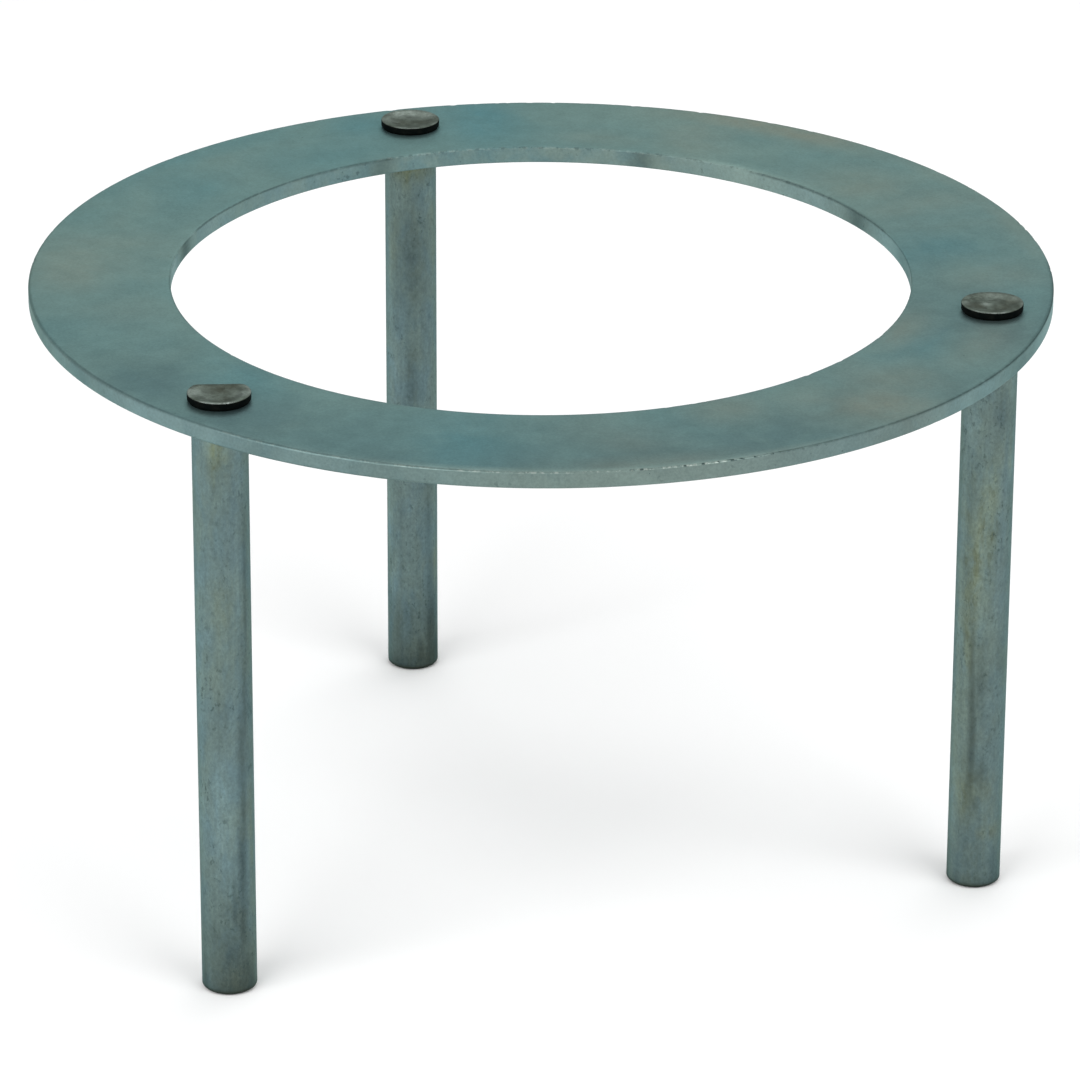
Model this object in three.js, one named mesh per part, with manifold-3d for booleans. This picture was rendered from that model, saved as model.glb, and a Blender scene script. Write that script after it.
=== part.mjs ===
// Stand for a propane burner: a flat steel ring on three round bar legs. One low-headed screw
// with a thin washer goes down through the ring into the top of each leg and clamps it there.
// Millimetres, +Z up. The origin is on the floor, below the centre of the ring.
import * as THREE from "three";
import { mergeVertices } from "three/addons/utils/BufferGeometryUtils.js";
import Module from "manifold-3d";

// Ring: flat plate, cut to a circle inside and out.
const RING_OUTER_DIAMETER = 300;
const RING_HOLE_DIAMETER = 217;
const RING_THICKNESS = 5;
const RING_TOP_HEIGHT = 183;
const RING_EDGE_BREAK = 0.4;

// Legs: solid round bar, square-cut, with a tapped blind hole in the top end.
const LEG_DIAMETER = 16;
const LEG_CIRCLE_DIAMETER = 267;
const LEG_FOOT_CHAMFER = 1;
const LEG_TOP_CHAMFER = 0.6;
const LEG_BORE_DIAMETER = 8.4;
const LEG_BORE_DEPTH = 26;
const LEG_BORE_MOUTH_CHAMFER = 0.6;
const DRILL_POINT_HALF_ANGLE = 59; // degrees
const LEG_POSITIONS = { back: 90, left: 210, right: 330 }; // degrees from +X, seen from above

// Screws: M8 with a wide low head whose top is dished.
const SCREW_THREAD_DIAMETER = 8;
const SCREW_NECK_DIAMETER = 7;
const SCREW_NECK_LENGTH = 2;
const SCREW_LENGTH = 25;
const SCREW_POINT_CHAMFER = 1;
const HEAD_DIAMETER = 18;
const HEAD_HEIGHT = 2;
const HEAD_EDGE_CHAMFER = 0.4;
const HEAD_RIM_WIDTH = 0.7;
const HEAD_DISH_DEPTH = 0.6;
const HEAD_DISH_STEPS = 4;

// Washers and clearance holes.
const WASHER_DIAMETER = 17.2;
const WASHER_THICKNESS = 0.5;
const CLEARANCE_HOLE_DIAMETER = 9;
const DRILL_OVERSHOOT = 5; // how far the cut reaches beyond each face of the ring

// Facets around each revolved shape.
const RING_FACETS = 144;
const BAR_FACETS = 36;

const ringUnderside = RING_TOP_HEIGHT - RING_THICKNESS;
const legCircleRadius = LEG_CIRCLE_DIAMETER / 2;

const zincPlate = new THREE.MeshStandardMaterial({
  name: "zinc_plate",
  color: 0x66827f,
  roughness: 0.5,
  metalness: 0.8,
});
const darkSteel = new THREE.MeshStandardMaterial({
  name: "dark_steel",
  color: 0x3c3f40,
  roughness: 0.45,
  metalness: 0.9,
});

const wasm = await Module();
wasm.setup();

// Turns [radius, height] points around the Z axis. The points run upwards along the outside.
function turned(profile, facets) {
  const points = profile.map(([radius, height]) => new THREE.Vector2(radius, height));
  return new THREE.LatheGeometry(points, facets).rotateX(Math.PI / 2);
}

// The same geometry as a closed manifold-3d solid.
function solidOf(geometry) {
  const bare = geometry.clone();
  bare.deleteAttribute("normal");
  bare.deleteAttribute("uv");
  const merged = mergeVertices(bare, 1e-3);
  return new wasm.Manifold(
    new wasm.Mesh({
      numProp: 3,
      vertProperties: new Float32Array(merged.getAttribute("position").array),
      triVerts: new Uint32Array(merged.index.array),
    }),
  );
}

function geometryOf(solid) {
  const { numProp, vertProperties, triVerts } = solid.getMesh();
  const positions = [];
  for (let i = 0; i < vertProperties.length; i += numProp) {
    positions.push(...vertProperties.slice(i, i + 3));
  }
  const geometry = new THREE.BufferGeometry();
  geometry.setAttribute("position", new THREE.Float32BufferAttribute(positions, 3));
  geometry.setIndex(new THREE.BufferAttribute(new Uint32Array(triVerts), 1));
  geometry.computeVertexNormals();
  return geometry;
}

// Where a leg's axis meets the floor.
function legFoot(degrees) {
  const angle = THREE.MathUtils.degToRad(degrees);
  return new THREE.Vector3(Math.cos(angle), Math.sin(angle), 0).multiplyScalar(legCircleRadius);
}

// The ring's underside is at height 0 of its own geometry.
function ringPlateGeometry() {
  const inner = RING_HOLE_DIAMETER / 2;
  const outer = RING_OUTER_DIAMETER / 2;
  const plate = turned(
    [
      [inner + RING_EDGE_BREAK, 0],
      [outer - RING_EDGE_BREAK, 0],
      [outer, RING_EDGE_BREAK],
      [outer, RING_THICKNESS - RING_EDGE_BREAK],
      [outer - RING_EDGE_BREAK, RING_THICKNESS],
      [inner + RING_EDGE_BREAK, RING_THICKNESS],
      [inner, RING_THICKNESS - RING_EDGE_BREAK],
      [inner, RING_EDGE_BREAK],
      [inner + RING_EDGE_BREAK, 0],
    ],
    RING_FACETS,
  );
  let solid = solidOf(plate);
  for (const degrees of Object.values(LEG_POSITIONS)) {
    const drill = new THREE.CylinderGeometry(
      CLEARANCE_HOLE_DIAMETER / 2,
      CLEARANCE_HOLE_DIAMETER / 2,
      RING_THICKNESS + 2 * DRILL_OVERSHOOT,
      BAR_FACETS,
    );
    const { x, y } = legFoot(degrees);
    drill.rotateX(Math.PI / 2).translate(x, y, RING_THICKNESS / 2);
    solid = solid.subtract(solidOf(drill));
  }
  return geometryOf(solid);
}

// A leg stands on height 0, with its bore open at the top.
function legGeometry() {
  const radius = LEG_DIAMETER / 2;
  const bore = LEG_BORE_DIAMETER / 2;
  const top = ringUnderside;
  const boreFloor = top - LEG_BORE_DEPTH;
  const drillPointDepth = bore / Math.tan(THREE.MathUtils.degToRad(DRILL_POINT_HALF_ANGLE));
  return turned(
    [
      [0, 0],
      [radius - LEG_FOOT_CHAMFER, 0],
      [radius, LEG_FOOT_CHAMFER],
      [radius, top - LEG_TOP_CHAMFER],
      [radius - LEG_TOP_CHAMFER, top],
      [bore + LEG_BORE_MOUTH_CHAMFER, top],
      [bore, top - LEG_BORE_MOUTH_CHAMFER],
      [bore, boreFloor],
      [0, boreFloor - drillPointDepth],
    ],
    BAR_FACETS,
  );
}

// The underside of a screw's head is at height 0, and the shank goes down from it.
function screwGeometry() {
  const thread = SCREW_THREAD_DIAMETER / 2;
  const neck = SCREW_NECK_DIAMETER / 2;
  const head = HEAD_DIAMETER / 2;
  const dish = head - HEAD_EDGE_CHAMFER - HEAD_RIM_WIDTH;
  const neckBottom = -SCREW_NECK_LENGTH;
  const profile = [
    [0, -SCREW_LENGTH],
    [thread - SCREW_POINT_CHAMFER, -SCREW_LENGTH],
    [thread, -SCREW_LENGTH + SCREW_POINT_CHAMFER],
    [thread, neckBottom - (thread - neck)],
    [neck, neckBottom],
    [neck, 0],
    [head - HEAD_EDGE_CHAMFER / 2, 0],
    [head, HEAD_EDGE_CHAMFER / 2],
    [head, HEAD_HEIGHT - HEAD_EDGE_CHAMFER],
    [head - HEAD_EDGE_CHAMFER, HEAD_HEIGHT],
  ];
  for (let step = 0; step <= HEAD_DISH_STEPS; step++) {
    const inward = step / HEAD_DISH_STEPS;
    const depth = HEAD_DISH_DEPTH * Math.sin((inward * Math.PI) / 2);
    profile.push([dish * (1 - inward), HEAD_HEIGHT - depth]);
  }
  return turned(profile, BAR_FACETS);
}

// A washer lies on height 0.
function washerGeometry() {
  const inner = CLEARANCE_HOLE_DIAMETER / 2;
  const outer = WASHER_DIAMETER / 2;
  return turned(
    [
      [inner, 0],
      [outer, 0],
      [outer, WASHER_THICKNESS],
      [inner, WASHER_THICKNESS],
      [inner, 0],
    ],
    BAR_FACETS,
  );
}

function named(name, geometry, material, position) {
  const mesh = new THREE.Mesh(geometry, material);
  mesh.name = name;
  mesh.position.copy(position);
  return mesh;
}

const stand = new THREE.Group();
stand.name = "burner_stand";
stand.add(named("ring_plate", ringPlateGeometry(), zincPlate, new THREE.Vector3(0, 0, ringUnderside)));

for (const [side, degrees] of Object.entries(LEG_POSITIONS)) {
  const foot = legFoot(degrees);
  const onRing = foot.clone().setZ(RING_TOP_HEIGHT);
  const onWasher = foot.clone().setZ(RING_TOP_HEIGHT + WASHER_THICKNESS);
  stand.add(
    named(`leg_${side}`, legGeometry(), zincPlate, foot),
    named(`washer_${side}`, washerGeometry(), darkSteel, onRing),
    named(`screw_${side}`, screwGeometry(), darkSteel, onWasher),
  );
}

export default stand;
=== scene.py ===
"""Looks of the burner stand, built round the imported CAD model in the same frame, in metres.

A zinc-plated ring stands on three zinc-plated round bars. A dark low-headed screw with a thin
washer holds each bar. Every CAD node is replaced by a finer mesh of the same piece. The meshes
carry marks, which are numbers kept at their vertices, and the finishes read them by name."""

import math

import bpy
import numpy as np
from mathutils import Matrix, Vector


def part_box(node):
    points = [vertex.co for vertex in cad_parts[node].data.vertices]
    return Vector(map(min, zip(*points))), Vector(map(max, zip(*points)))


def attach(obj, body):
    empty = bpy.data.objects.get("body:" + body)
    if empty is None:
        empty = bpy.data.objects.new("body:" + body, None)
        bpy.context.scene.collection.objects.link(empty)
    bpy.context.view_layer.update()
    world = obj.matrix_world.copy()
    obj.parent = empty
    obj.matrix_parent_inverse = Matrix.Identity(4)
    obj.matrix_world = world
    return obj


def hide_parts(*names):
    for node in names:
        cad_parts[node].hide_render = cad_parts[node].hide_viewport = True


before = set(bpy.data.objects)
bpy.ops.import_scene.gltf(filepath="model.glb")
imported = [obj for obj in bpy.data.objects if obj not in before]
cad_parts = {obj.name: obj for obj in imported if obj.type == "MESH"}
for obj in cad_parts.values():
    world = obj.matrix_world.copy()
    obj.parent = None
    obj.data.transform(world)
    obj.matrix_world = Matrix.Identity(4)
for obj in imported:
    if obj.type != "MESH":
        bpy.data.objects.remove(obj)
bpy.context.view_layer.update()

MM = 0.001
SIDES = ("back", "left", "right")

# Camera: it looks at a point on the ring's axis from a long way off, through a long lens.
CAMERA_AZIMUTH = -17.84
CAMERA_ELEVATION = 23.486
CAMERA_ROLL = 0.207
CAMERA_DISTANCE = 1.8842
CAMERA_TARGET_DROP = 85.2 * MM  # below the ring's top
CAMERA_LENS_MM = 210.32
CAMERA_SENSOR_MM = 36
CAMERA_CLIP_END = 50

# Light and floor. Each soft box has an azimuth and elevation as seen from the object, a
# distance, a width and height, and a power in watts.
SOFTBOXES = {
    "behind": (CAMERA_AZIMUTH + 170, 50, 1.3, (1.2, 0.8), 4.6),
    "front_left": (-60, 38, 2.0, (1.4, 1.4), 21),
    "front_right": (32, 42, 2.0, (1.4, 1.4), 17),
}
SURROUND_STRENGTH = 0.58
WHITE = (1.0, 1.0, 1.0, 1.0)
FLOOR_COLOUR = (0.93, 0.93, 0.93, 1.0)
FLOOR_ROUGHNESS = 0.9
FLOOR_HALF_WIDTH = 6.0

# Ring
RING_SEGMENTS = 1600
RING_EDGE_RADIUS = (0.35 * MM, 1.0 * MM)  # crisp on one side of the ring, dulled on the other
RING_DULLED_TOWARDS = 205  # degrees from +X
RING_ARC_STEPS = 5
RING_WALL_STEPS = 8
RING_FACE_STEPS = 12
RING_CREASE = 50  # degrees
WALL_FADE = (0.1 * MM, 0.3 * MM)  # how far from a corner the cut walls' colour gives way
CORNER_LINE = 0.28 * MM  # half width of the lines along the corners
NICK_SEED = 41
NICK_COUNT = 120
NICK_DEPTH = 0.18 * MM
NICK_DEPTH_SHARES = (0.25, 1.0)
NICK_HALF_LENGTHS_MM = (0.4, 1.5)
NICK_REACHES_MM = (0.35, 0.8)
NICKS_ON_HOLE = 0.3  # share of the nicks that is on the hole's corners
NICKS_BELOW = 0.2  # share of them that is on the lower corners
NICK_SLANT = 0.7  # share of a nick's depth that goes inwards, and as much goes up or down
CLEARANCE_HOLE_RADIUS = 4.5 * MM
DRILL_FACETS = 64
DRILL_OVERSHOOT = 2 * MM  # how far the cut reaches beyond each face of the ring

# Legs
LEG_FACETS = 112
LEG_SIDE_ROWS = 150
LEG_BORE_ROWS = 12
LEG_CREASE = 30  # degrees
# Outline of the foot, from its middle outwards: how far in from the bar's side, and how high.
LEG_FOOT_OUTLINE = (
    (7.6 * MM, 0),
    (4.5 * MM, 0),
    (1.35 * MM, 0),
    (1.0 * MM, 0.15 * MM),
    (0.45 * MM, 0.5 * MM),
    (0.12 * MM, 0.85 * MM),
    (0, 1.25 * MM),
)
LEG_PLAIN_SIDE = (2 * MM, 1 * MM)  # its even rows stop this far from the foot and from the top
LEG_TOP_CHAMFER = 0.6 * MM
LEG_BORE_RADIUS = 4.2 * MM
LEG_BORE_DEPTH = 26 * MM
LEG_BORE_MOUTH = 2 * MM  # depth of the bore's first even row
DRILL_POINT_DEPTH = 2.5 * MM
# Painted shade, darker towards the foot: strength, and the heights where it starts to fade and
# ends.
FOOT_PAINTED_SHADE = ((0.24, 3 * MM, 45 * MM), (0.2, 1 * MM, 6 * MM))
# The foot's edge is painted black as shade where it faces the floor
FOOT_EDGE_SHADE = (0.8 * MM, 1.8 * MM)  # heights where the black of the foot's edge fades and ends

# Screws and washers
END_RADIUS = 0.3 * MM  # the small flat that closes a turned point
HEAD_FACETS = 128
HEAD_CREASE = 40  # degrees
HEAD_EDGE_RADIUS = 0.25 * MM
HEAD_EDGE_STEPS = 6
HEAD_LIP_RADIUS = 0.25 * MM
HEAD_LIP_STEPS = 4
HEAD_RIM_WIDTH = 0.7 * MM
# The rubbed rim also carries a painted highlight.
HEAD_RIM_FADE = (0.25 * MM, 0.75 * MM)  # how far from the edge the rubbed rim gives way
HEAD_SIDE_ROWS = (0.3, 0.5, 0.7)  # shares of the head's height
HEAD_RIM_ROWS = (0.3, 0.6, 1.0)  # shares of the rim's width
HEAD_DISH_DEPTH = 0.45 * MM
HEAD_DISH_FLOOR = 0.55  # share of the dish's radius that is at full depth
HEAD_DISH_SPAN = (0.96, 0.01)  # shares of the dish's radius at its first and last row
HEAD_DISH_ROWS = 26
HEAD_DENT_COUNT = 9
HEAD_DENT_DEPTH = 0.22 * MM
HEAD_DENT_OFFSET = 0.75  # a dent starts within this share of the dish's radius
HEAD_DENT_SLOPES = (0.5, 1.3)
HEAD_DENT_SEEDS = {"back": 11, "left": 12, "right": 13}
THREAD_RADIUS = 4.0 * MM
THREAD_DEPTH = 0.7 * MM
THREAD_PITCH = 1.25 * MM
THREAD_ROWS_PER_PITCH = 10
THREAD_FLAT = 0.12  # share of the pitch that is flat at each crest, and at each root
THREAD_LEAD_IN = 1.3 * MM  # height of the narrowed tip
NECK_RADIUS = 3.5 * MM
NECK_LENGTH = 2 * MM
NECK_TAPER = 0.4 * MM  # height of the cone from the thread to the neck
WASHER_FACETS = 96
WASHER_CREASE = 40  # degrees
WASHER_HOLE_RADIUS = 4.5 * MM
WASHER_EDGE_RADIUS = 0.12 * MM
WASHER_EDGE_STEPS = 4


# ---------------------------------------------------------------- places, from the frame
ring_low, ring_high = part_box("ring_plate")
ring_radius = ring_high.x
ring_top = ring_high.z
ring_underside = ring_low.z
hole_radius = min(math.hypot(v.co.x, v.co.y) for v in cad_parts["ring_plate"].data.vertices)


def node_axis(node):
    """The upright axis of a round node: its centre seen from above."""
    low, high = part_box(node)
    return (low.x + high.x) / 2, (low.y + high.y) / 2


def node_radius(node):
    """The radius of a round node."""
    low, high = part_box(node)
    return (high.x - low.x) / 2


# ---------------------------------------------------------------- meshes
def arc(centre_r, centre_z, radius, start, end, steps):
    """Points of a quarter turn in a profile, from angle start to end in degrees."""
    angles = np.radians(np.linspace(start, end, steps + 1))
    return [(centre_r + radius * math.cos(a), centre_z + radius * math.sin(a)) for a in angles]


def turned_grid(profile, segments):
    """Radius and height of every vertex of a turned profile, as (rows, segments) arrays."""
    rows = np.array(profile, float)
    radius = np.repeat(rows[:, :1], segments, axis=1)
    height = np.repeat(rows[:, 1:], segments, axis=1)
    return radius, height


def turned(name, radius, height, axis=(0, 0), closed=False):
    """A mesh object from a grid of radii and heights turned about an upright axis. A closed grid
    joins its last row to its first; an open one has its end rows filled."""
    rows, segments = radius.shape
    angle = np.linspace(0, 2 * math.pi, segments, endpoint=False)
    points = np.stack(
        [axis[0] + radius * np.cos(angle), axis[1] + radius * np.sin(angle), height], axis=-1
    ).reshape(-1, 3)
    index = np.arange(rows * segments).reshape(rows, segments)
    following = np.roll(index, -1, axis=1)
    upper = np.roll(index, -1, axis=0)
    upper_following = np.roll(upper, -1, axis=1)
    quads = np.stack([index, following, upper_following, upper], axis=-1)
    if not closed:
        quads = quads[:-1]
    faces = quads.reshape(-1, 4).tolist()
    if not closed:
        faces.append(index[0][::-1].tolist())
        faces.append(index[-1].tolist())
    mesh = bpy.data.meshes.new(name)
    mesh.from_pydata(points.tolist(), [], faces)
    mesh.shade_smooth()
    piece = bpy.data.objects.new(name, mesh)
    bpy.context.scene.collection.objects.link(piece)
    return piece


def positions(piece):
    """The piece's vertices as an (n, 3) array."""
    co = np.empty(len(piece.data.vertices) * 3)
    piece.data.vertices.foreach_get("co", co)
    return co.reshape(-1, 3)


def mark(piece, name, values):
    """Stores one number from 0 to 1 per vertex, which the piece's finish reads by name."""
    attribute = piece.data.attributes.new(name, "FLOAT", "POINT")
    attribute.data.foreach_set("value", np.clip(values, 0, 1).astype(np.float32))


def fade(value, near, far):
    """1 where value is near or less, 0 where it is far or more, and smooth between."""
    t = np.clip((far - value) / (far - near), 0, 1)
    return t * t * (3 - 2 * t)


def degrees_between(first, second):
    """The turn from the second angle to the first, from -180 to 180 degrees."""
    return (first - second + 180) % 360 - 180


def finish_piece(piece, node, material, crease):
    """Gives the piece its material and sharp edges, and puts it in its CAD node's place."""
    piece.data.set_sharp_from_angle(angle=math.radians(crease))
    piece.data.materials.append(material)
    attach(piece, "root")
    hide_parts(node)


# ---------------------------------------------------------------- materials
class Finish:
    """A material's node tree, with short calls for what the finishes share."""

    NOISE_RANGE = (0.3, 0.7)  # nearly all of a noise's values lie between these

    def __init__(self, name):
        self.material = bpy.data.materials.new(name)
        self.material.use_nodes = True
        self.tree = self.material.node_tree
        self.shader = self.tree.nodes["Principled BSDF"]
        self.place = self.node("ShaderNodeTexCoord").outputs["Object"]

    def node(self, kind, inputs=None, **settings):
        """A new node. An input is a number, a vector or another node's output."""
        made = self.tree.nodes.new(kind)
        for key, value in settings.items():
            setattr(made, key, value)
        for socket, value in (inputs or {}).items():
            self.plug(made.inputs[socket], value)
        return made

    def plug(self, socket, value):
        """Links the socket to an output, or sets it to a plain value."""
        if isinstance(value, bpy.types.NodeSocket):
            self.tree.links.new(value, socket)
        else:
            socket.default_value = value

    def noise(self, size, detail, roughness, distortion=0.0, seed=0.0, upright=1.0):
        """Noise whose blotches are about size metres across. An upright scale below 1 draws
        them out along Z."""
        place = self.place
        if upright != 1.0:
            scaled = {"Vector": place, "Scale": (1, 1, upright)}
            place = self.node("ShaderNodeMapping", scaled).outputs["Vector"]
        inputs = {
            "Vector": place,
            "W": seed,
            "Scale": 1 / size,
            "Detail": detail,
            "Roughness": roughness,
            "Distortion": distortion,
        }
        return self.node("ShaderNodeTexNoise", inputs, noise_dimensions="4D").outputs["Fac"]

    def cells(self, size):
        """Distance to the nearest of scattered points about size metres apart, in sizes."""
        inputs = {"Vector": self.place, "Scale": 1 / size, "Randomness": 1.0}
        return self.node("ShaderNodeTexVoronoi", inputs).outputs["Distance"]

    def between(self, value, low, high, to_low=0.0, to_high=1.0):
        """Goes smoothly from to_low to to_high as the value goes from low to high."""
        inputs = {
            "Value": value,
            "From Min": low,
            "From Max": high,
            "To Min": to_low,
            "To Max": to_high,
        }
        made = self.node("ShaderNodeMapRange", inputs, interpolation_type="SMOOTHSTEP")
        return made.outputs["Result"]

    def spread(self, noise, low, high):
        """The noise stretched to fill low to high."""
        return self.between(noise, *self.NOISE_RANGE, low, high)

    def maths(self, operation, a, b):
        """One step of arithmetic on two values."""
        made = self.node("ShaderNodeMath", operation=operation)
        self.plug(made.inputs[0], a)
        self.plug(made.inputs[1], b)
        return made.outputs[0]

    def times(self, a, b):
        """The product of two values."""
        return self.maths("MULTIPLY", a, b)

    def marked(self, name):
        """A mark that is kept at the mesh's vertices."""
        return self.node("ShaderNodeAttribute", attribute_name=name).outputs["Fac"]

    def mix(self, share, first, second, blend="MIX"):
        """The first colour with a share of the second over it."""
        made = self.node("ShaderNodeMix", data_type="RGBA", blend_type=blend)
        self.plug(made.inputs[0], share)
        self.plug(made.inputs[6], (*first, 1.0) if isinstance(first, tuple) else first)
        self.plug(made.inputs[7], (*second, 1.0) if isinstance(second, tuple) else second)
        return made.outputs[2]

    def shaded(self, colour, shade):
        """The colour made darker or lighter by a number near 1."""
        grey = self.node("ShaderNodeCombineColor", {"Red": shade, "Green": shade, "Blue": shade})
        return self.mix(1.0, colour, grey.outputs[0], "MULTIPLY")

    def bump(self, height, distance, strength, normal=None):
        """Relief of a height from 0 to 1, on top of an earlier relief if there is one."""
        inputs = {"Height": height, "Distance": distance, "Strength": strength}
        if normal is not None:
            inputs["Normal"] = normal
        return self.node("ShaderNodeBump", inputs).outputs["Normal"]

    def set(self, **values):
        """Sets or links the shader's inputs."""
        for name, value in values.items():
            self.plug(self.shader.inputs[name.replace("_", " ")], value)


# The ring's faces and cut walls
TEAL = (0.122, 0.207, 0.203)
SEA_GREEN = (0.143, 0.221, 0.208)
WARM_GREY = (0.212, 0.217, 0.170)
BLUE_GREY = (0.080, 0.198, 0.222)
PALE_GREY = (0.215, 0.300, 0.275)
# Painted shade: a darker grey over the ring's front half
PAINTED_SHADE_GREY = (0.076, 0.130, 0.138)
WALL_COOL = (0.130, 0.216, 0.220)
WALL_PALE = (0.178, 0.256, 0.234)
WALL_LIGHT = (0.250, 0.370, 0.375)
BRIGHT_METAL = (0.44, 0.50, 0.45)
PIT = (0.035, 0.058, 0.056)
# The bars
BAR_BLUE = (0.126, 0.196, 0.206)
BAR_OLIVE = (0.142, 0.203, 0.190)
BAR_COLD = (0.104, 0.168, 0.200)
BAR_WARM = (0.164, 0.206, 0.158)
# Black painted shade on the foot's edge
BAR_FOOT_SHADE = (0.030, 0.036, 0.026)
YELLOW_STAIN = (0.158, 0.184, 0.100)
RUST_STAIN = (0.076, 0.083, 0.041)
# The screws and washers
STEEL_DARK = (0.040, 0.049, 0.039)
STEEL_GREY = (0.105, 0.131, 0.112)
STEEL_BROWN = (0.036, 0.036, 0.023)
STEEL_PALE = (0.215, 0.255, 0.232)
# Rubbed metal and painted highlight on the heads' rims
STEEL_RUBBED_GLINT = (0.27, 0.31, 0.29)
SCALE_BLACK = (0.001, 0.002, 0.002)
SCALE_GREY = (0.004, 0.005, 0.004)

ZINC_METALLIC = 0.85
ZINC_GRAZING_TINT = (0.50, 0.66, 0.63, 1.0)
STEEL_METALLIC = 0.85
STEEL_GRAZING_TINT = (0.55, 0.61, 0.58, 1.0)


def zinc_plate():
    """Zinc plate on flat plate: cloudy teal, paler cut walls, painted shade over the front half,
    patches of painted shadow on the inner wall, and top corners with bare metal in some lengths,
    and dark chips or a dark line in others."""
    f = Finish("zinc_plate")
    # Clouds, the cut walls, the placed tints, and the placed painted shade and painted shadow
    cut = f.marked("cut")
    clouds = f.noise(48 * MM, 3, 0.55, 0.7)
    wall_clouds = f.noise(8 * MM, 4, 0.6, 0.3, seed=7.0)
    face = f.mix(f.between(clouds, 0.36, 0.64), TEAL, SEA_GREEN)
    wall = f.mix(f.between(wall_clouds, 0.32, 0.66), WALL_COOL, WALL_PALE)
    colour = f.mix(cut, face, wall)
    ragged = f.between(f.noise(17 * MM, 4, 0.62, 0.5, seed=3.0), 0.25, 0.65, 0.55, 1.0)
    # The first of these, the darker grey, is painted shade over the front half; the others are
    # tints of the zinc.
    for name, tint in (
        ("ring_painted_shade", PAINTED_SHADE_GREY),
        ("blue", BLUE_GREY),
        ("warm", WARM_GREY),
        ("pale_tone_and_painted_light", PALE_GREY),
    ):
        colour = f.mix(f.times(f.marked(name), ragged), colour, tint)
    colour = f.mix(f.times(f.marked("light"), cut), colour, WALL_LIGHT)
    # Dark patches of painted shadow on the inner wall
    painted_shadow_share = f.times(f.marked("inner_wall_painted_shadow"), f.between(wall_clouds, 0.3, 0.6, 0.5, 1.0))
    colour = f.mix(f.times(painted_shadow_share, cut), colour, PIT)

    # Fine mottling
    mottle = f.spread(f.noise(6 * MM, 4, 0.62, seed=1.0), 0.94, 1.06)
    grain = f.noise(0.8 * MM, 3, 0.65, seed=2.0)
    shade = f.times(mottle, f.between(grain, 0.28, 0.72, 0.91, 1.09))
    colour = f.shaded(colour, shade)

    # Dark specks, more of them on the walls
    speck_size = f.between(f.noise(9 * MM, 2, 0.5, seed=4.0), 0.52, 0.78, 0.0, 0.13)
    specks = f.times(f.maths("LESS_THAN", f.cells(3.4 * MM), speck_size), 0.55)
    crowding = f.between(f.noise(14 * MM, 3, 0.6, seed=9.0), 0.45, 0.66)
    wall_specks = f.between(f.noise(1.5 * MM, 2, 0.55, seed=10.0), 0.62, 0.68, 0.0, 0.4)
    wall_specks = f.times(wall_specks, f.times(cut, crowding))
    pits = f.maths("MAXIMUM", specks, wall_specks)
    colour = f.mix(pits, colour, PIT)

    # Lines and dashes along the top corners
    dashes = f.noise(1.5 * MM, 3, 0.7, seed=5.0)
    scored = f.times(f.marked("scored"), f.between(dashes, 0.3, 0.55, 0.25, 0.6))
    colour = f.mix(scored, colour, PIT)
    dark_dashes = f.between(f.noise(1.9 * MM, 2, 0.6, seed=6.0), 0.53, 0.59)
    colour = f.mix(f.times(f.marked("chipped"), dark_dashes), colour, PIT)
    bare = f.times(f.marked("bare"), f.between(dashes, 0.47, 0.62))
    colour = f.mix(f.times(bare, 0.6), colour, BRIGHT_METAL)

    # Gloss and relief
    rough = f.spread(f.noise(15 * MM, 3, 0.6, seed=8.0), 0.44, 0.56)
    rough = f.maths("SUBTRACT", rough, f.times(bare, 0.15))
    normal = f.bump(grain, 0.03 * MM, 0.6)
    normal = f.bump(f.times(wall_clouds, cut), 0.25 * MM, 0.5, normal)
    normal = f.bump(f.maths("SUBTRACT", 0.0, pits), 0.08 * MM, 0.8, normal)
    f.set(Base_Color=colour, Roughness=rough, Normal=normal)
    f.set(Metallic=ZINC_METALLIC, Specular_Tint=ZINC_GRAZING_TINT)
    return f.material


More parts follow.
